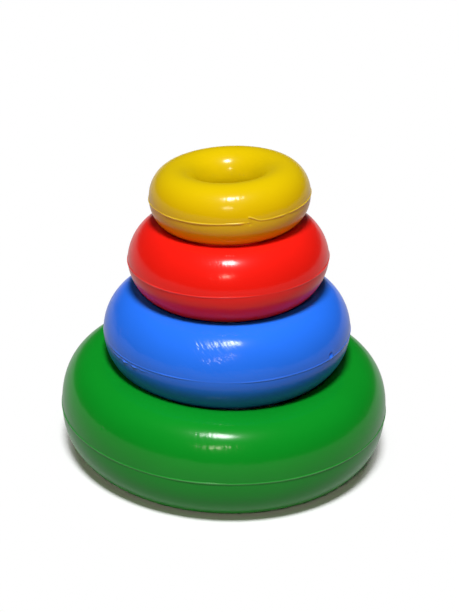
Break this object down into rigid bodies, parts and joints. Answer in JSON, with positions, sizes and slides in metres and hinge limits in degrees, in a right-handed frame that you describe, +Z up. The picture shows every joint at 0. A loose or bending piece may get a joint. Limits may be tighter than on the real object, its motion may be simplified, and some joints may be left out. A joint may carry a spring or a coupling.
{
  "type": "stacking ring pyramid",
  "caption": "Tower of loose, hollow, blown plastic rings that stack by size, each resting in the ring below, with a round hole down the middle.",
  "frame": {"origin": "on the table, at the middle of the flat that runs round the underside of the largest ring", "axes": "+Z up along the common axis of the rings, -Y towards the front"},
  "size_m": [0.1608, 0.1608, 0.146],
  "materials": {
    "green_plastic": "glossy",
    "blue_plastic": "glossy",
    "red_plastic": "glossy",
    "yellow_plastic": "glossy"
  },
  "bodies": {
    "green_ring": {"green_ring": "green_plastic"},
    "blue_ring": {"blue_ring": "blue_plastic"},
    "red_ring": {"red_ring": "red_plastic"},
    "yellow_ring": {"yellow_ring": "yellow_plastic"}
  },
  "joints": [
    {"name": "blue_lift", "type": "slide", "parent": "green_ring", "child": "blue_ring", "axis": [0, 0, 1], "range_m": [0, 0.06]},
    {"name": "red_lift", "type": "slide", "parent": "blue_ring", "child": "red_ring", "axis": [0, 0, 1], "range_m": [0, 0.06]},
    {"name": "yellow_lift", "type": "slide", "parent": "red_ring", "child": "yellow_ring", "axis": [0, 0, 1], "range_m": [0, 0.06]}
  ]
}
